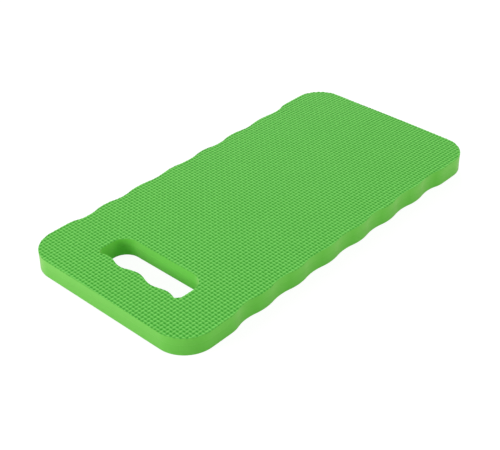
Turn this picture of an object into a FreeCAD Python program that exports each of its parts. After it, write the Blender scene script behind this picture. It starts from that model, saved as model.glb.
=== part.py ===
import FreeCAD, Part
import math
import os
import Sketcher

# Kneeling pad of closed-cell foam: two flat sheets bonded face to face, then cut through together
# by one steel-rule die.  The die gives the pad its round corners, its wavy long edges and a hand
# slot with finger ridges.  Millimetres, +X away from the hand slot, +Y across, +Z up, with the
# origin at the middle of the underside.

NODES = ("base_sheet", "embossed_top_sheet")

SIZES = {
    # blank
    "pad_length": 400.0,
    "pad_width": 199.0,
    "corner_radius": 29.5,
    "base_thickness": 10.0,
    "top_thickness": 8.0,
    # wavy long edges, measured inward from the straight edge of the blank
    "wave_count": 7,
    "wave_rise": 2.25,
    "crest_drop": 1.2,
    "end_flat": 50.0,
    "runout_length": 21.3,
    "wave_shift": 1.9,
    # hand slot, measured from the pad's end
    "slot_inset": 37.6,
    "slot_width": 34.2,
    "slot_length": 100.2,
    "slot_shift": -1.9,
    "slot_inner_radius": 15.0,
    "slot_grip_radius": 8.0,
    # ridges between the fingers, on the slot's grip side
    "ridge_pitch": 36.0,
    "middle_ridge_width": 38.4,
    "middle_ridge_rise": 4.1,
    "outer_ridge_rise": 3.2,
}

# Worked out from the sheet: the waves share what the flat ends and the run-outs leave, and each
# outer ridge starts where the middle one ends.
WAVE_PITCH = ("(sizes.pad_length - 2 * sizes.end_flat - 2 * sizes.runout_length)"
              " / (sizes.wave_count - 1)")
TROUGH_DEPTH = "(sizes.crest_drop + sizes.wave_rise)"
OUTER_RIDGE_WIDTH = "(2 * sizes.ridge_pitch - sizes.middle_ridge_width)"

ORIGIN, V_AXIS = -1, -2
START, END, CENTRE = 1, 2, 3

doc = FreeCAD.newDocument("kneeling_pad")
sheet = doc.addObject("Spreadsheet::Sheet", "sizes")
for row, (alias, value) in enumerate(SIZES.items(), start=1):
    sheet.set(f"A{row}", alias)
    sheet.set(f"B{row}", str(value))
    sheet.setAlias(f"B{row}", alias)
doc.recompute()


def number(expression):
    """The value of an expression on the sheet's cells."""
    return float(sheet.evalExpression(expression))


def s_curve_radius(run, rise):
    """Radius of the two equal arcs that climb a rise within a run, level at both ends."""
    return f"(({run})^2 + ({rise})^2) / (4 * ({rise}))"


class Profile:
    """A closed chain of lines and arcs in a sketch on a body's XY plane."""

    def __init__(self, body, label, across, along, turn=0.0):
        self.sketch = body.newObject("Sketcher::SketchObject", label)
        planes = [item for item in body.Origin.OriginFeatures if item.Role == "XY_Plane"]
        self.sketch.AttachmentSupport = (planes[0], [""])
        self.sketch.MapMode = "FlatFace"
        rotation = FreeCAD.Rotation(FreeCAD.Vector(0, 0, 1), turn)
        self.sketch.AttachmentOffset = FreeCAD.Placement(FreeCAD.Vector(), rotation)
        self.sketch.setExpression("AttachmentOffset.Base.x", across)
        self.sketch.setExpression("AttachmentOffset.Base.y", along)
        self.edges = []

    def line(self, begin, finish):
        segment = Part.LineSegment(FreeCAD.Vector(*begin), FreeCAD.Vector(*finish))
        self.edges.append((self.sketch.addGeometry(segment), START, END))
        return self.edges[-1][0]

    def arc(self, centre, begin, finish, anticlockwise):
        ends = (begin, finish) if anticlockwise else (finish, begin)
        angles = [math.atan2(y - centre[1], x - centre[0]) for x, y in ends]
        circle = Part.Circle(FreeCAD.Vector(*centre), FreeCAD.Vector(0, 0, 1), math.dist(centre, begin))
        index = self.sketch.addGeometry(Part.ArcOfCircle(circle, *angles))
        self.edges.append((index, START, END) if anticlockwise else (index, END, START))
        return index

    def join(self, smooth):
        """Joins each edge to the next; smooth lists the edges that run tangent into their next."""
        following = self.edges[1:] + self.edges[:1]
        for (edge, _, last), (other, first, _) in zip(self.edges, following):
            self.tie("Tangent" if edge in smooth else "Coincident", edge, last, other, first)

    def tie(self, kind, *where):
        return self.sketch.addConstraint(Sketcher.Constraint(kind, *where))

    def size(self, name, expression, kind, *where):
        """A driving dimension that follows the sheet."""
        self.sketch.renameConstraint(self.tie(kind, *where, number(expression)), name)
        self.sketch.setExpression(f"Constraints.{name}", expression)


def blank_profile(body):
    """The plain rectangle of the sheet, centred on the origin."""
    profile = Profile(body, "blank", "0", "0")
    reach = number("sizes.pad_length / 2")
    half = number("sizes.pad_width / 2")
    front = profile.line((-reach, -half), (reach, -half))
    far_end = profile.line((reach, -half), (reach, half))
    back = profile.line((reach, half), (-reach, half))
    near_end = profile.line((-reach, half), (-reach, -half))
    profile.join(smooth=())
    for edge in (front, back):
        profile.tie("Horizontal", edge)
    for edge in (far_end, near_end):
        profile.tie("Vertical", edge)
    profile.tie("Symmetric", front, START, back, START, ORIGIN, START)
    profile.size("length", "sizes.pad_length", "DistanceX", front, START, front, END)
    profile.size("width", "sizes.pad_width", "DistanceY", far_end, START, far_end, END)
    return profile.sketch


def wave_profile(profile, centre, foot, pitch, rise):
    """One full wave of equal arcs on a rectangular foot, left of the sketch's upright axis."""
    radius = s_curve_radius(f"{pitch} / 2", rise)
    middle = -number(centre)
    low, quarter, lift, bend = (number(item) for item in (foot, f"{pitch} / 4", rise, radius))
    left, right = middle - 2 * quarter, middle + 2 * quarter
    bottom = profile.line((right, 0), (left, 0))
    left_side = profile.line((left, 0), (left, low))
    hollow_in = profile.arc((left, low + bend), (left, low), (middle - quarter, low + lift / 2), True)
    crown = profile.arc((middle, low + lift - bend), (middle - quarter, low + lift / 2),
                        (middle + quarter, low + lift / 2), False)
    hollow_out = profile.arc((right, low + bend), (middle + quarter, low + lift / 2), (right, low), True)
    right_side = profile.line((right, low), (right, 0))
    profile.join(smooth=(hollow_in, crown))
    profile.tie("Horizontal", bottom)
    profile.tie("PointOnObject", bottom, START, ORIGIN)
    profile.tie("Vertical", left_side)
    profile.tie("Vertical", right_side)
    profile.tie("Equal", left_side, right_side)
    profile.tie("Equal", hollow_in, crown)
    profile.tie("Equal", hollow_out, crown)
    profile.tie("Vertical", hollow_in, START, hollow_in, CENTRE)
    profile.tie("Vertical", hollow_out, END, hollow_out, CENTRE)
    profile.size("centre", centre, "DistanceX", crown, CENTRE, ORIGIN, START)
    profile.size("pitch", pitch, "DistanceX", left_side, END, right_side, START)
    profile.size("foot", foot, "DistanceY", left_side, START, left_side, END)
    profile.size("bend", radius, "Radius", crown)
    return profile.sketch


def edge_wave_profile(body):
    """What the die takes out between two crests, next to the last wave at the slot's end."""
    profile = Profile(body, "edge_wave", "sizes.wave_shift", "-sizes.pad_width / 2 - sizes.wave_rise")
    return wave_profile(profile, centre=f"{WAVE_PITCH} * (sizes.wave_count - 3) / 2",
                        foot="sizes.wave_rise + sizes.crest_drop",
                        pitch=WAVE_PITCH, rise="sizes.wave_rise")


def last_wave_profile(body):
    """The last trough at the slot's end, which runs out to the straight edge of the blank."""
    profile = Profile(body, "last_wave", "sizes.wave_shift", "-sizes.pad_width / 2 - sizes.wave_rise")
    half_pitch = f"{WAVE_PITCH} / 2"
    trough_place = f"{WAVE_PITCH} * (sizes.wave_count - 1) / 2"
    trough_height = f"sizes.wave_rise + {TROUGH_DEPTH}"
    crest_height = "sizes.wave_rise + sizes.crest_drop"
    edge = number("sizes.wave_rise")
    run, half = number("sizes.runout_length"), number(half_pitch)
    trough = -number(trough_place)
    low, high = number(crest_height), number(trough_height)
    slack_bend = number(s_curve_radius("sizes.runout_length", TROUGH_DEPTH))
    wave_bend = number(s_curve_radius(half_pitch, "sizes.wave_rise"))

    bottom = profile.line((trough + half, 0), (trough - run, 0))
    left_side = profile.line((trough - run, 0), (trough - run, edge))
    leave = profile.arc((trough - run, edge + slack_bend), (trough - run, edge),
                        (trough - run / 2, (edge + high) / 2), True)
    deepen = profile.arc((trough, high - slack_bend), (trough - run / 2, (edge + high) / 2),
                         (trough, high), False)
    rise_again = profile.arc((trough, high - wave_bend), (trough, high),
                             (trough + half / 2, (low + high) / 2), False)
    crest = profile.arc((trough + half, low + wave_bend), (trough + half / 2, (low + high) / 2),
                        (trough + half, low), True)
    right_side = profile.line((trough + half, low), (trough + half, 0))
    profile.join(smooth=(leave, deepen, rise_again))
    profile.tie("Horizontal", bottom)
    profile.tie("PointOnObject", bottom, START, ORIGIN)
    profile.tie("Vertical", left_side)
    profile.tie("Vertical", right_side)
    profile.tie("Equal", leave, deepen)
    profile.tie("Equal", rise_again, crest)
    profile.tie("Vertical", leave, START, leave, CENTRE)
    profile.tie("Vertical", crest, END, crest, CENTRE)
    profile.tie("Vertical", rise_again, END, rise_again, CENTRE)
    profile.size("trough_place", trough_place, "DistanceX", rise_again, END, ORIGIN, START)
    profile.size("trough_height", trough_height, "DistanceY", ORIGIN, START, rise_again, END)
    profile.size("runout", "sizes.runout_length", "DistanceX", leave, START, rise_again, END)
    profile.size("edge_height", "sizes.wave_rise", "DistanceY", left_side, START, left_side, END)
    profile.size("half_pitch", half_pitch, "DistanceX", rise_again, END, crest, END)
    profile.size("crest_height", crest_height, "DistanceY", right_side, END, right_side, START)
    return profile.sketch


def slot_profile(body):
    """The hand slot without its ridges: a long hole with tighter corners on the grip side."""
    profile = Profile(body, "hand_slot", "-sizes.pad_length / 2 + sizes.slot_inset", "sizes.slot_shift")
    half, wide = number("sizes.slot_length / 2"), number("sizes.slot_width")
    tight, easy = number("sizes.slot_grip_radius"), number("sizes.slot_inner_radius")
    near_end = profile.line((tight, -half), (wide - easy, -half))
    near_inner = profile.arc((wide - easy, easy - half), (wide - easy, -half), (wide, easy - half), True)
    inner = profile.line((wide, easy - half), (wide, half - easy))
    far_inner = profile.arc((wide - easy, half - easy), (wide, half - easy), (wide - easy, half), True)
    far_end = profile.line((wide - easy, half), (tight, half))
    far_grip = profile.arc((tight, half - tight), (tight, half), (0, half - tight), True)
    grip = profile.line((0, half - tight), (0, tight - half))
    near_grip = profile.arc((tight, tight - half), (0, tight - half), (tight, -half), True)
    profile.join(smooth=range(near_grip + 1))
    for edge in (near_end, far_end):
        profile.tie("Horizontal", edge)
    for edge in (inner, grip):
        profile.tie("Vertical", edge)
    profile.tie("Equal", near_inner, far_inner)
    profile.tie("Equal", near_grip, far_grip)
    profile.tie("PointOnObject", grip, START, V_AXIS)
    profile.size("grip_radius", "sizes.slot_grip_radius", "Radius", near_grip)
    profile.size("inner_radius", "sizes.slot_inner_radius", "Radius", near_inner)
    profile.size("width", "sizes.slot_width", "DistanceX", grip, END, inner, START)
    profile.size("length", "sizes.slot_length", "DistanceY", near_end, START, far_end, END)
    profile.size("half_length", "sizes.slot_length / 2", "DistanceY", ORIGIN, START, far_end, END)
    return profile.sketch


def ridge_profile(body, label, centre, width, rise):
    """A ridge between two fingers, standing on the slot's grip side."""
    profile = Profile(body, label, f"-sizes.pad_length / 2 + sizes.slot_inset - {rise}",
                      "sizes.slot_shift", turn=-90)
    return wave_profile(profile, centre=centre, foot=rise, pitch=width, rise=rise)


def extrude(body, kind, label, sketch, thickness):
    """A pad or pocket that goes through the sheet's whole thickness."""
    feature = body.newObject(kind, label)
    feature.Profile = sketch
    feature.Reversed = kind == "PartDesign::Pocket"
    feature.setExpression("Length", thickness)
    sketch.Visibility = False
    doc.recompute()
    return feature


def copies(body, kind, label, **settings):
    """A mirror or pattern with its settings; a text that names the sheet is an expression."""
    feature = body.newObject(kind, label)
    for name, value in settings.items():
        if isinstance(value, str):
            feature.setExpression(name, value)
        else:
            setattr(feature, name, value)
    return feature


def die_cut_sheet(label, thickness):
    """One foam sheet of the pad, in its own coordinates with its underside at z = 0."""
    body = doc.addObject("PartDesign::Body", label)
    blank_sketch = blank_profile(body)
    blank = extrude(body, "PartDesign::Pad", "sheet", blank_sketch, thickness)
    upright = [f"Edge{index}" for index, edge in enumerate(blank.Shape.Edges, start=1)
               if edge.tangentAt(edge.FirstParameter).isParallel(FreeCAD.Vector(0, 0, 1), 1e-6)]
    corners = body.newObject("PartDesign::Fillet", "corners")
    corners.Base = (blank, upright)
    corners.setExpression("Radius", "sizes.corner_radius")
    doc.recompute()

    # The same train of waves is cut along both long edges, turned half round for the far one.
    wave = extrude(body, "PartDesign::Pocket", "wave_cut", edge_wave_profile(body), thickness)
    train = copies(body, "PartDesign::MultiTransform", "wave_train", Originals=[wave])
    train.Transformations = [
        copies(body, "PartDesign::LinearPattern", "along_edge",
               Direction=(wave.Profile[0], ["H_Axis"]),
               Length=f"{WAVE_PITCH} * (sizes.wave_count - 3)", Occurrences="sizes.wave_count - 2"),
        copies(body, "PartDesign::PolarPattern", "both_edges",
               Axis=(blank_sketch, ["N_Axis"]), Angle=360.0, Occurrences=2),
    ]
    body.Tip = train
    doc.recompute()

    last = extrude(body, "PartDesign::Pocket", "last_wave_cut", last_wave_profile(body), thickness)
    last_waves = copies(body, "PartDesign::MultiTransform", "last_waves", Originals=[last])
    last_waves.Transformations = [
        copies(body, "PartDesign::Mirrored", "other_end",
               MirrorPlane=(last.Profile[0], ["V_Axis"])),
        copies(body, "PartDesign::PolarPattern", "both_edges_again",
               Axis=(blank_sketch, ["N_Axis"]), Angle=360.0, Occurrences=2),
    ]
    body.Tip = last_waves
    doc.recompute()

    slot = extrude(body, "PartDesign::Pocket", "slot_cut", slot_profile(body), thickness)
    middle_ridge = extrude(body, "PartDesign::Pad", "middle_ridge", ridge_profile(
        body, "middle_finger_ridge", "0", "sizes.middle_ridge_width", "sizes.middle_ridge_rise"), thickness)
    outer_ridge = extrude(body, "PartDesign::Pad", "outer_ridge", ridge_profile(
        body, "outer_finger_ridge", "sizes.ridge_pitch", OUTER_RIDGE_WIDTH, "sizes.outer_ridge_rise"),
        thickness)
    ridges = copies(body, "PartDesign::Mirrored", "other_outer_ridge", Originals=[outer_ridge],
                    MirrorPlane=(outer_ridge.Profile[0], ["V_Axis"]))
    body.Tip = ridges
    doc.recompute()

    steps = (blank, corners, wave, train, last, last_waves, slot, middle_ridge, outer_ridge, ridges)
    for before, after in zip(steps, steps[1:]):
        adds = after in (middle_ridge, outer_ridge, ridges)
        if (after.Shape.Volume > before.Shape.Volume) != adds:
            raise RuntimeError(f"{label}: {after.Label} changes the sheet the wrong way")
    return body


base_sheet, embossed_top_sheet = (
    die_cut_sheet(label, thickness)
    for label, thickness in zip(NODES, ("sizes.base_thickness", "sizes.top_thickness")))
embossed_top_sheet.setExpression("Placement.Base.z", "sizes.base_thickness")
doc.recompute()

failed = [item.Label for item in doc.Objects if {"Invalid", "Error"} & set(item.State)]
if failed:
    raise RuntimeError("failed: " + ", ".join(failed))
for body in (base_sheet, embossed_top_sheet):
    if body.Shape.isNull() or not body.Shape.isValid() or len(body.Shape.Solids) != 1:
        raise RuntimeError(f"{body.Label} isn't one valid solid")

os.makedirs("parts", exist_ok=True)
for body in (base_sheet, embossed_top_sheet):
    body.Shape.exportStep(f"parts/{body.Label}.step")
    box = body.Shape.BoundBox
    print(f"{body.Label}: {body.Shape.Volume / 1000:.1f} cm3, {box.XLength:.2f} x {box.YLength:.2f}"
          f" x {box.ZLength:.2f} mm, from z = {box.ZMin:.2f}")
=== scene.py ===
import math

import bpy
import numpy as np
from mathutils import Matrix, Vector, kdtree
from mathutils.geometry import delaunay_2d_cdt


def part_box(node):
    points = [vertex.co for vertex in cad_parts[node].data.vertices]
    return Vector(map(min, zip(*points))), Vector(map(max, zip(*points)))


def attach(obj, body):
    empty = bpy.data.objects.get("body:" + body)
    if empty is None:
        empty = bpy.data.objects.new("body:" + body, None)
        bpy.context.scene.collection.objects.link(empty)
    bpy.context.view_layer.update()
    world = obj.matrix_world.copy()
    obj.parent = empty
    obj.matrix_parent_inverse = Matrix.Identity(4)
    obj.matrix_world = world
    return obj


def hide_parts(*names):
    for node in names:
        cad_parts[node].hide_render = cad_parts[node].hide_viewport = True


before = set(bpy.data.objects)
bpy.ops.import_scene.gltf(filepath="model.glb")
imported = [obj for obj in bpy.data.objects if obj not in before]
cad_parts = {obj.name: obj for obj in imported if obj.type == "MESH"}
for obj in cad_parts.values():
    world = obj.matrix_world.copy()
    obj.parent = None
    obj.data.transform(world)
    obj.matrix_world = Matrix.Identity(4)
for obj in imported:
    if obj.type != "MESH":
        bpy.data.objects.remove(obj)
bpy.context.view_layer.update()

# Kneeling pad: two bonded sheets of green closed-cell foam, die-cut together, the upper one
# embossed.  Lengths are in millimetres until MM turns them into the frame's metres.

# ---- Base sheet ------------------------------------------------------------------------------
# The lower sheet of plain closed-cell EVA foam, split from a thicker block, so its underside is
# a flat, finely grained skin.  One steel-rule die cuts both sheets; the rule squeezes the foam as
# it goes through, so each wall springs back very slightly hollow.

MM = 0.001
base_low, base_high = (np.array(corner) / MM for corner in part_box("base_sheet"))
PAD_LENGTH, PAD_WIDTH = (base_high - base_low)[:2]
BASE_TOP = base_high[2]
CORNER_RADIUS = 29.5
RULE_STEP = 1.2                # spacing of the points along the die's rule
SAME_POINT = 1e-6              # points of the rule that are nearer than this are one

WAVE_COUNT = 7                 # troughs in each long edge
WAVE_RISE = 2.25               # from a trough out to the crests beside it
CREST_DROP = 1.2               # of the crests from the full width
END_FLAT = 50.0                # straight part of a long edge at each end, with its corner
RUNOUT = 21.3                  # from the straight part to the first trough
WAVE_SHIFT = 1.9               # of the -Y row of waves toward +X, and of the +Y row toward -X
EDGE_SAMPLES = 4000            # fine samples of a long edge, before they are spaced evenly
WAVE_PITCH = (PAD_LENGTH - 2 * END_FLAT - 2 * RUNOUT) / (WAVE_COUNT - 1)

SLOT_INSET = 37.6              # from the pad's end to the grip side
SLOT_WIDTH = 34.2
SLOT_LENGTH = 100.2
SLOT_SHIFT = -1.9              # of the slot's middle across the pad
SLOT_INNER_RADIUS = 15.0
SLOT_GRIP_RADIUS = 8.0
RIDGE_PITCH = 36.0             # of the three finger ridges
MIDDLE_RIDGE_HALF = 19.2
MIDDLE_RIDGE_RISE = 4.1
OUTER_RIDGE_HALF = RIDGE_PITCH - MIDDLE_RIDGE_HALF
OUTER_RIDGE_RISE = 3.2
GRIP_SAMPLES = 3000


def climb(run, length, rise):
    """Height reached after a run along an S of two equal arcs that gains rise over length."""
    bend = (length ** 2 + rise ** 2) / (4 * rise)
    run = np.clip(run, 0, length)
    first = bend - np.sqrt(bend ** 2 - run ** 2)
    second = rise - bend + np.sqrt(bend ** 2 - (length - run) ** 2)
    return np.where(run < length / 2, first, second)


def edge_depth(along):
    """How far the waves cut into a long edge, by distance from the middle of their train."""
    reach, half = np.abs(along), WAVE_PITCH / 2
    last_trough = WAVE_PITCH * (WAVE_COUNT - 1) / 2
    trough = CREST_DROP + WAVE_RISE
    waves = trough - climb(np.abs((reach + half) % WAVE_PITCH - half), half, WAVE_RISE)
    return np.where(reach < last_trough, waves, trough - climb(reach - last_trough, RUNOUT, trough))


def arc(centre, radius, begin, finish, count=60):
    """Points of an arc between two angles in degrees."""
    angles = np.radians(np.linspace(begin, finish, count))
    return np.stack([centre[0] + radius * np.cos(angles), centre[1] + radius * np.sin(angles)], 1)


def rule(points):
    """Even points along a closed line, and the direction into the foam, which is on its left."""
    closed = np.vstack([points, points[:1]])
    steps = np.hypot(*np.diff(closed, axis=0).T)
    closed = closed[np.append(True, steps > SAME_POINT)]
    travelled = np.append(0, np.cumsum(np.hypot(*np.diff(closed, axis=0).T)))
    places = np.linspace(0, travelled[-1], int(travelled[-1] / RULE_STEP), endpoint=False)
    even = np.stack([np.interp(places, travelled, closed[:, axis]) for axis in (0, 1)], 1)
    ahead = np.roll(even, -1, 0) - np.roll(even, 1, 0)
    inward = np.stack([-ahead[:, 1], ahead[:, 0]], 1)
    return even, inward / np.linalg.norm(inward, axis=1)[:, None]


def outer_rule():
    """The rule round the pad: two wavy long edges and two straight ends with round corners."""
    reach, half, radius = PAD_LENGTH / 2, PAD_WIDTH / 2, CORNER_RADIUS
    along = np.linspace(radius - reach, reach - radius, EDGE_SAMPLES)
    front = np.stack([along, edge_depth(along - WAVE_SHIFT) - half], 1)
    back = np.stack([-along, half - edge_depth(-along + WAVE_SHIFT)], 1)
    corners = [arc((side * (reach - radius), end * (half - radius)), radius, turn, turn + 90)
               for side, end, turn in ((1, -1, -90), (1, 1, 0), (-1, 1, 90), (-1, -1, 180))]
    return rule(np.vstack([front, *corners[:2], back, *corners[2:]]))


def slot_rule():
    """The rule of the hand slot: a grip side with finger ridges, and a plain inner side."""
    grip = SLOT_INSET - PAD_LENGTH / 2
    inner, half = grip + SLOT_WIDTH, SLOT_LENGTH / 2
    across = half * np.sin(np.linspace(-math.pi / 2, math.pi / 2, GRIP_SAMPLES))
    middle_ridge = MIDDLE_RIDGE_RISE - climb(np.abs(across), MIDDLE_RIDGE_HALF, MIDDLE_RIDGE_RISE)
    from_outer = np.abs(np.abs(across) - RIDGE_PITCH)
    outer_ridges = OUTER_RIDGE_RISE - climb(from_outer, OUTER_RIDGE_HALF, OUTER_RIDGE_RISE)
    into_corner = np.clip(np.abs(across) - half + SLOT_GRIP_RADIUS, 0, SLOT_GRIP_RADIUS)
    corners = SLOT_GRIP_RADIUS - np.sqrt(SLOT_GRIP_RADIUS ** 2 - into_corner ** 2)
    reach = np.maximum.reduce([corners, middle_ridge, outer_ridges])
    grip_side = np.stack([grip + reach, across], 1)
    inner_side = np.vstack([
        arc((inner - SLOT_INNER_RADIUS, half - SLOT_INNER_RADIUS), SLOT_INNER_RADIUS, 90, 0),
        arc((inner - SLOT_INNER_RADIUS, SLOT_INNER_RADIUS - half), SLOT_INNER_RADIUS, 0, -90)])
    return rule(np.vstack([grip_side, inner_side]) + (0, SLOT_SHIFT))


RULES = (outer_rule(), slot_rule())
rule_points = np.vstack([line for line, _ in RULES])
rule_inward = np.vstack([inward for _, inward in RULES])
rule_tree = kdtree.KDTree(len(rule_points))
for number, (x, y) in enumerate(rule_points):
    rule_tree.insert((x, y, 0), number)
rule_tree.balance()


def depth_in(places):
    """How deep places lie inside the foam, square to the nearest cut; below 0 outside the foam."""
    numbers = [rule_tree.find((x, y, 0))[1] for x, y in places]
    return ((places - rule_points[numbers]) * rule_inward[numbers]).sum(1)


def loop_edges(loop):
    """The edges of a closed line, as pairs of its point numbers."""
    return list(zip(loop, np.roll(loop, -1)))


class Sheet:
    """The mesh of one foam sheet, put together from walls and faces, in millimetres."""

    FACES_IN_EDGES = 1             # the triangulation gives faces inside the edges only
    NEAREST = 1e-7                 # nearer points would be one in the triangulation
    SHARP_ANGLE = math.radians(60)

    def __init__(self):
        self.points, self.relief = np.empty((0, 3)), np.empty(0)
        self.faces, self.finishes = [], []

    def place(self, places, heights, relief=1.0):
        """Adds points and returns their numbers; relief is what the embossing left standing."""
        start, every = len(self.points), np.ones(len(places))
        self.points = np.vstack([self.points, np.column_stack([places, every * heights])])
        self.relief = np.append(self.relief, every * relief)
        return np.arange(start, len(self.points))

    def cover(self, faces, finish):
        """Adds faces, which have one finish."""
        self.faces += [list(map(int, face)) for face in faces]
        self.finishes += [finish] * len(faces)

    def strip(self, low, high, finish):
        """A closed strip of meshes between two rings of points."""
        self.cover(np.column_stack([low, np.roll(low, -1), np.roll(high, -1), high]), finish)

    def walls(self, profile, finish):
        """Walls through the profile's (height, inset) pairs; returns all rings, outer and slot."""
        rings = [[self.place(line + inward * inset, height) for line, inward in RULES]
                 for height, inset in profile]
        for lower, upper in zip(rings, rings[1:]):
            for low, high in zip(lower, upper):
                self.strip(low, high, finish)
        return rings

    def fill(self, numbers, edges, finish, upward=True):
        """Triangles between points, where an odd number of the closed lines go round them."""
        order = {int(number): place for place, number in enumerate(numbers)}
        _, _, faces, originals, _, _ = delaunay_2d_cdt(
            [Vector(point) for point in self.points[numbers, :2]],
            [(order[int(begin)], order[int(end)]) for begin, end in edges], [],
            self.FACES_IN_EDGES, self.NEAREST)
        faces = numbers[[[originals[corner][0] for corner in face] for face in faces]]
        middle_x, middle_y, _ = self.points[faces].mean(1).T
        within = np.zeros(len(faces), bool)
        for (x, y, _), (next_x, next_y, _) in zip(*self.points[np.transpose(edges)]):
            level = (y > middle_y) != (next_y > middle_y)
            crossing = x + (middle_y[level] - y) * (next_x - x) / (next_y - y)
            within[level] ^= middle_x[level] < crossing
        faces = faces[within]
        self.cover(faces if upward else faces[:, ::-1], finish)

    def flat(self, rings, finish, upward):
        """A flat face between an outer ring and the slot's ring."""
        edges = loop_edges(rings[0]) + loop_edges(rings[1])
        self.fill(np.concatenate(rings), edges, finish, upward)

    def piece(self, name, finishes):
        """Turns the sheet into an object with these materials."""
        mesh = bpy.data.meshes.new(name)
        mesh.from_pydata(self.points * MM, [], self.faces)
        mesh.polygons.foreach_set("material_index", self.finishes)
        mesh.attributes.new("relief", "FLOAT", "POINT").data.foreach_set("value", self.relief)
        mesh.shade_smooth()
        mesh.set_sharp_from_angle(angle=self.SHARP_ANGLE)
        for finish in finishes:
            mesh.materials.append(finish)
        piece = bpy.data.objects.new(name, mesh)
        bpy.context.scene.collection.objects.link(piece)
        return piece


class Wire:
    """An output in a finish's node tree; arithmetic on it adds Math nodes."""

    def __init__(self, finish, socket):
        self.finish, self.socket = finish, socket

    def maths(self, operation, *values):
        return self.finish.node(
            "ShaderNodeMath", {"operation": operation}, dict(enumerate(values)))["Value"]

    def __add__(self, other):
        return self.maths("ADD", self, other)

    def __sub__(self, other):
        return self.maths("SUBTRACT", self, other)

    def __rsub__(self, other):
        return self.maths("SUBTRACT", other, self)

    def __mul__(self, other):
        return self.maths("MULTIPLY", self, other)

    __radd__, __rmul__ = __add__, __mul__


class Finish:
    """A material, or the surround, that is built node by node."""

    def __init__(self, owner):
        self.owner = owner
        owner.use_nodes = True
        owner.node_tree.nodes.clear()

    def node(self, kind, settings=None, sockets=None):
        """Adds a node, sets it up, then gives its sockets values or links; returns its outputs."""
        made = self.owner.node_tree.nodes.new(kind)
        for setting, value in (settings or {}).items():
            setattr(made, setting, value)
        for name, value in (sockets or {}).items():
            socket = made.inputs[name] if isinstance(name, int) else next(
                item for item in made.inputs if item.enabled and item.name == name)
            if isinstance(value, Wire):
                self.owner.node_tree.links.new(value.socket, socket)
            else:
                socket.default_value = value
        return {item.name: Wire(self, item) for item in made.outputs if item.enabled}

    def millimetres(self):
        """Place on the pad in millimetres."""
        place = self.node("ShaderNodeTexCoord")["Object"]
        return self.node("ShaderNodeVectorMath", {"operation": "SCALE"},
                         {"Vector": place, "Scale": 1 / MM})["Vector"]

    def noise(self, place, scale, detail=2.0, stretch=(1, 1, 1)):
        """Noise between 0 and 1, its grain 1 / scale millimetres across where stretch is 1."""
        if stretch != (1, 1, 1):
            place = self.node("ShaderNodeVectorMath", {"operation": "MULTIPLY"},
                              {0: place, 1: stretch})["Vector"]
        return self.node("ShaderNodeTexNoise", {"noise_dimensions": "3D"},
                         {"Vector": place, "Scale": scale, "Detail": detail})["Fac"]

    def ramp(self, value, begin, end):
        """A soft step from 0 at begin to 1 at end."""
        return self.node("ShaderNodeMapRange", {"interpolation_type": "SMOOTHSTEP"},
                         {"Value": value, "From Min": begin, "From Max": end})["Result"]

    def blend(self, share, first, second):
        """A colour between two, at share 0 the first."""
        return self.node("ShaderNodeMix", {"data_type": "RGBA"},
                         {"Factor": share, "A": first, "B": second})["Result"]

    def grain(self, height, strength, depth):
        """A bump, its depth in millimetres."""
        return self.node("ShaderNodeBump", None, {"Strength": strength, "Distance": depth * MM,
                                                  "Height": height})["Normal"]

    def surface(self, **sockets):
        """The principled surface, by the names of its sockets; returns the material."""
        shader = self.node(
            "ShaderNodeBsdfPrincipled", None,
            {name.replace("_", " "): value for name, value in sockets.items()})["BSDF"]
        self.node("ShaderNodeOutputMaterial", None, {"Surface": shader})
        return self.owner


def green(red, full, blue):
    """A foam green."""
    return (red, full, blue, 1.0)


SHEEN = 0.6                    # dusty light that the cut cells scatter


def cut_foam(name, deep, pale):
    """A cut wall: matt, fine cells, faint level lines that the rule leaves, slightly mottled."""
    foam = Finish(bpy.data.materials.new(name))
    place = foam.millimetres()
    cells = foam.noise(place, scale=2.2, detail=3.0)
    lines = foam.noise(place, scale=1.0, stretch=(0.05, 0.05, 1.8))
    clouds = foam.noise(place, scale=0.045)
    return foam.surface(
        Base_Color=foam.blend(clouds * 0.45 + lines * 0.35 + cells * 0.2, deep, pale),
        Roughness=0.66 + cells * 0.12, Specular_IOR_Level=0.3,
        Sheen_Weight=SHEEN, Sheen_Roughness=0.5, Sheen_Tint=(1.0, 0.9, 0.72, 1),
        Normal=foam.grain(cells * 0.7 + lines * 0.2, strength=0.3, depth=0.2))


def plain_skin(name):
    """The split underside: flat and matt, with a fine even pore grain."""
    skin = Finish(bpy.data.materials.new(name))
    place = skin.millimetres()
    pores = skin.noise(place, scale=1.4, detail=4.0)
    clouds = skin.noise(place, scale=0.03)
    return skin.surface(
        Base_Color=skin.blend(clouds * 0.6 + pores * 0.4,
                              green(0.105, 0.44, 0.05), green(0.14, 0.52, 0.07)),
        Roughness=0.66 + pores * 0.1, Normal=skin.grain(pores, strength=0.5, depth=0.3))


HOLLOW = 0.12                  # how far the middle of the walls springs in
FOOT = 0.12                    # how far the foot's arris is worn back
SEAM = 0.04                    # half the height, and the depth, of the line where the sheets meet
SEAM_SIDE = 0.3                # from the seam to the next ring of points
CUT, SPLIT = 0, 1              # the base's finishes, in the order of its materials
# heights and insets of the wall's rings, from the foot up
BASE_WALL = ((0.0, FOOT), (0.3 * FOOT, 0.3 * FOOT), (FOOT, 0.0), (4 * FOOT, 0.0),
             (4.0, 0.7 * HOLLOW), (BASE_TOP - SEAM_SIDE, HOLLOW),
             (BASE_TOP - SEAM, HOLLOW), (BASE_TOP, HOLLOW + SEAM))

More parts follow.
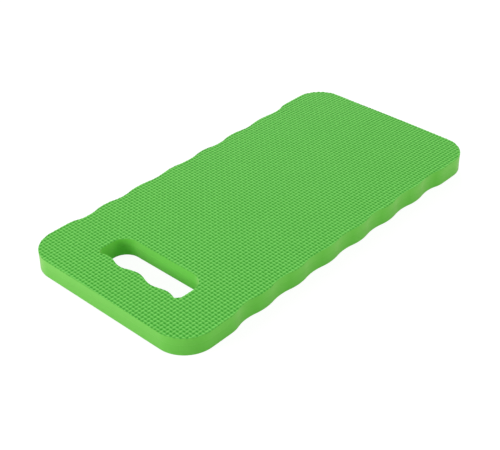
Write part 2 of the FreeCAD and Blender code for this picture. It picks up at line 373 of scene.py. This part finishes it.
base = Sheet()
base_rings = base.walls(BASE_WALL, CUT)
base.flat(base_rings[0], SPLIT, upward=False)
base.flat(base_rings[-1], SPLIT, upward=True)
base_sheet = base.piece("plain_base_sheet", [
    cut_foam("cut_base_foam", green(0.085, 0.54, 0.03), green(0.115, 0.60, 0.042)),
    plain_skin("split_underside")])
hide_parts("base_sheet")
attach(base_sheet, "root")

# ---- Embossed top sheet ----------------------------------------------------------------------
# The upper sheet is the same foam, run hot between a weave-patterned roll and a plain one, then
# bonded to the base before the die goes through.  The roll leaves round threads that pass over
# and under each other, with a pit between each four, and the die cuts straight through them.

top_low, top_high = (np.array(corner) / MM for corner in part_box("embossed_top_sheet"))
TOP = top_high[2]
LIP = 0.5                      # radius of the worn arris at the cut
SKIN, BONDED = 1, 2            # the top sheet's finishes after CUT

# each pair of values is for the threads across the pad, then for those along it
THREAD_PITCH = np.array((3.506, 3.716))
WEAVE_SHIFT = np.array((0.93, 0.37))    # of the first threads past the middle, in threads
CROWNS = np.array((0.94, 1.0))          # height of the threads, as a share of the depth
WEAVE_TURN = math.radians(-1.42)        # of the roll's pattern to the pad
WEAVE_DEPTH = 1.0
CUT_RELIEF = 0.5               # share of the relief that is left right at the cut
UNDERPASS = 0.1                # height of a thread where it goes under, as a share of its crown
THREAD_HALF = 0.36             # half a thread's width, as a share of the pitch
THREAD_FALL = 0.6              # from a thread's crown to its sides, as a share of the depth
THREAD_POINTS = (0.0, THREAD_HALF, 0.5, 1 - THREAD_HALF)
SPARE_THREADS = 4              # counted beyond the pad's edge, for the turn and the shift
MESH_CLEARANCE = 0.25          # from the lip to the nearest whole mesh of the weave
TURNED = np.array(((math.cos(WEAVE_TURN), -math.sin(WEAVE_TURN)),
                   (math.sin(WEAVE_TURN), math.cos(WEAVE_TURN))))


def weave_relief(threads):
    """Height of the embossed face, from 0 at a pit's floor to 1 on a thread, by thread numbers."""
    middles = np.round(threads)
    aside = (threads - middles) / THREAD_HALF
    way = np.cos(math.pi * (threads[..., ::-1] + middles)) * (1, -1)
    over = CROWNS * (UNDERPASS + (1 - UNDERPASS) * (0.5 + 0.5 * way))
    return np.clip((over - THREAD_FALL * aside ** 2).max(-1), 0, 1)


def emboss(sheet, places, depth, threads=None):
    """Adds points of the embossed face, which lie this deep in from the cut, at most the lip."""
    if threads is None:
        threads = places @ TURNED / THREAD_PITCH + WEAVE_SHIFT
    relief = 1 - (1 - weave_relief(threads)) * (CUT_RELIEF + (1 - CUT_RELIEF) * depth / LIP)
    worn = LIP - math.sqrt(LIP ** 2 - (LIP - depth) ** 2)
    return sheet.place(places, TOP - worn - WEAVE_DEPTH * (1 - relief), relief)


top = Sheet()
TOP_WALL = ((BASE_TOP, HOLLOW + SEAM), (BASE_TOP + SEAM, HOLLOW),
            (BASE_TOP + SEAM_SIDE, HOLLOW), (TOP - 3.5, 0.35 * HOLLOW), (TOP - 2.5 * LIP, 0.0))
top_rings = top.walls(TOP_WALL, CUT)
top.flat(top_rings[0], BONDED, upward=False)
rims = []
for (line, inward), rim in zip(RULES, top_rings[-1]):
    for depth, finish in ((0.0, CUT), (0.3 * LIP, SKIN), (LIP, SKIN)):
        ring = emboss(top, line + inward * depth, depth)
        top.strip(rim, ring, finish)
        rim = ring
    rims.append(rim)

# whole meshes of the weave, each a quarter thread or so across, wherever they clear the lip
spans = (np.array((PAD_LENGTH, PAD_WIDTH)) / 2 / THREAD_PITCH).astype(int) + SPARE_THREADS
lines = [(np.arange(-span, span)[:, None] + THREAD_POINTS).ravel() for span in spans]
threads = np.stack(np.meshgrid(*lines, indexing="ij"), -1)
grid = ((threads - WEAVE_SHIFT) * THREAD_PITCH) @ TURNED.T
inside = depth_in(grid.reshape(-1, 2)).reshape(grid.shape[:2]) > LIP + MESH_CLEARANCE
numbers = np.full(inside.shape, -1)
numbers[inside] = emboss(top, grid[inside], LIP, threads[inside])
whole = inside[:-1, :-1] & inside[1:, :-1] & inside[1:, 1:] & inside[:-1, 1:]
quads = np.stack([numbers[:-1, :-1], numbers[1:, :-1], numbers[1:, 1:], numbers[:-1, 1:]], -1)
top.cover(quads[whole], SKIN)

# the band between the lip and the whole meshes
framed = np.pad(whole, 1)
around = np.stack([framed[:-1, :-1], framed[1:, :-1], framed[1:, 1:], framed[:-1, 1:]])
rim_band = inside & ~around.all(0)
edges = loop_edges(rims[0]) + loop_edges(rims[1])
step_along = framed[1:-1, :-1] != framed[1:-1, 1:]
step_across = framed[:-1, 1:-1] != framed[1:, 1:-1]
edges += [*zip(numbers[:-1][step_along], numbers[1:][step_along]),
          *zip(numbers[:, :-1][step_across], numbers[:, 1:][step_across])]
top.fill(np.concatenate([*rims, numbers[rim_band]]), edges, SKIN)


def embossed_skin(name):
    """The hot-pressed skin: dull, with its pits coloured deep green, partly the squeezed skin's own
    deeper tone and partly painted shade in the recesses.
    """
    skin = Finish(bpy.data.materials.new(name))
    place = skin.millimetres()
    relief = skin.node("ShaderNodeAttribute", {"attribute_name": "relief"})["Fac"]
    pores = skin.noise(place, scale=2.6, detail=3.0)
    patches = skin.noise(place, scale=0.4, detail=1.0)
    clouds = skin.noise(place, scale=0.035)
    # painted shade: the pits are coloured darker than the threads, for the shade that falls in them
    # as well as for the squeezed skin's deeper green
    raised_out_of_pit_shade = skin.ramp(relief + patches * 0.3 - 0.15, begin=0.0, end=0.85)
    return skin.surface(
        Base_Color=skin.blend(raised_out_of_pit_shade * 0.86 + clouds * 0.08 + pores * 0.06,
                              green(0.02, 0.285, 0.008), green(0.157, 0.57, 0.093)),
        Roughness=0.7 + pores * 0.12, Specular_IOR_Level=0.15,
        Normal=skin.grain(pores, strength=0.3, depth=0.2))


embossed_sheet = top.piece("embossed_weave_sheet", [
    # the top sheet's cut wall is coloured a little paler and yellower than the base sheet's
    cut_foam("cut_top_foam", green(0.09, 0.55, 0.03), green(0.12, 0.61, 0.045)),
    embossed_skin("embossed_skin"),
    plain_skin("bonded_face")])
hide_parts("embossed_top_sheet")
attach(embossed_sheet, "root")

# ---- Floor and light -------------------------------------------------------------------------
# A plain white floor that keeps a faint soft shadow, and an even white surround.  A soft lamp
# stands low off the slot's end, a weaker one off the -Y long edge, and a strong distant one beyond
# the far corner rakes over the weave.

FLOOR_HALF = 4.0
FLOOR_DROP = 0.3 * MM          # keeps the floor clear of the pad's underside
FLOOR_GLOW = 1.15
FLOOR_WHITENESS = 0.8          # share of the glow in what the camera sees, shadow the rest
SURROUND_FILL = 0.48           # the surround's light on the pad; 1 where it is seen or mirrored

floor_finish = Finish(bpy.data.materials.new("white_floor"))
seen = floor_finish.node("ShaderNodeLightPath")["Is Camera Ray"]
paper = floor_finish.node("ShaderNodeBsdfDiffuse", None, {"Color": (0.7, 0.7, 0.7, 1)})["BSDF"]
glow = floor_finish.node("ShaderNodeEmission", None, {"Strength": FLOOR_GLOW})["Emission"]
shown = floor_finish.node("ShaderNodeMixShader", None,
                          {0: seen * FLOOR_WHITENESS, 1: paper, 2: glow})["Shader"]
floor_finish.node("ShaderNodeOutputMaterial", None, {"Surface": shown})
floor_mesh = bpy.data.meshes.new("floor")
floor_mesh.from_pydata([(x * FLOOR_HALF, y * FLOOR_HALF, -FLOOR_DROP)
                        for x, y in ((-1, -1), (1, -1), (1, 1), (-1, 1))], [], [(0, 1, 2, 3)])
floor_mesh.materials.append(floor_finish.owner)
floor = bpy.data.objects.new("floor", floor_mesh)
bpy.context.scene.collection.objects.link(floor)

bpy.context.scene.world = bpy.data.worlds.new("surround")
surround = Finish(bpy.context.scene.world)
path = surround.node("ShaderNodeLightPath")
white = path["Is Camera Ray"].maths("MAXIMUM", path["Is Camera Ray"], path["Is Glossy Ray"])
sky = surround.node("ShaderNodeBackground", None, {
    "Color": (1, 1, 1, 1), "Strength": SURROUND_FILL + white * (1 - SURROUND_FILL)})["Background"]
surround.node("ShaderNodeOutputWorld", None, {"Surface": sky})


def lamp(name, toward, distance, size, power, colour):
    """A round soft lamp that stands in this direction from the pad's middle and faces it."""
    light = bpy.data.lights.new(name, "AREA")
    light.shape, light.size, light.energy, light.color = "DISK", size, power, colour
    holder = bpy.data.objects.new(name, light)
    direction = Vector(toward).normalized()
    holder.location = direction * distance
    holder.rotation_mode = "QUATERNION"
    holder.rotation_quaternion = direction.to_track_quat("Z", "Y")
    bpy.context.scene.collection.objects.link(holder)


lamp("slot_end_lamp", toward=(-0.87, 0.35, 0.36), distance=1.7, size=0.8, power=18,
     colour=(1.0, 0.82, 0.95))
lamp("near_side_lamp", toward=(0.35, -0.9, 0.2), distance=2.4, size=1.2, power=19,
     colour=(1.0, 0.92, 0.75))
lamp("far_lamp", toward=(0.63, 0.61, 0.48), distance=8.0, size=1.6, power=600,
     colour=(1.0, 1.0, 0.95))

# ---- Camera ----------------------------------------------------------------------------------
# It stands off the slot's end on the left, looks down at about 35 degrees, and leans a little.

FOCAL_LENGTH, SENSOR_WIDTH = 77.7, 36.0
AZIMUTH, ELEVATION, LEAN = (math.radians(angle) for angle in (-47.159, 34.943, -0.658))
AIM, DISTANCE = Vector((-0.03491, -0.01608, 0.009)), 0.98012

camera_data = bpy.data.cameras.new("camera")
camera_data.lens, camera_data.sensor_width = FOCAL_LENGTH, SENSOR_WIDTH
camera = bpy.data.objects.new("camera", camera_data)
bpy.context.scene.collection.objects.link(camera)
away = Vector((math.sin(AZIMUTH) * math.cos(ELEVATION), -math.cos(AZIMUTH) * math.cos(ELEVATION),
               math.sin(ELEVATION)))
camera.rotation_mode = "QUATERNION"
lean = Matrix.Rotation(LEAN, 3, "Z").to_quaternion()
camera.rotation_quaternion = away.to_track_quat("Z", "Y") @ lean
camera.location = AIM + away * DISTANCE
bpy.context.scene.camera = camera
bpy.context.scene.view_settings.view_transform = "Standard"
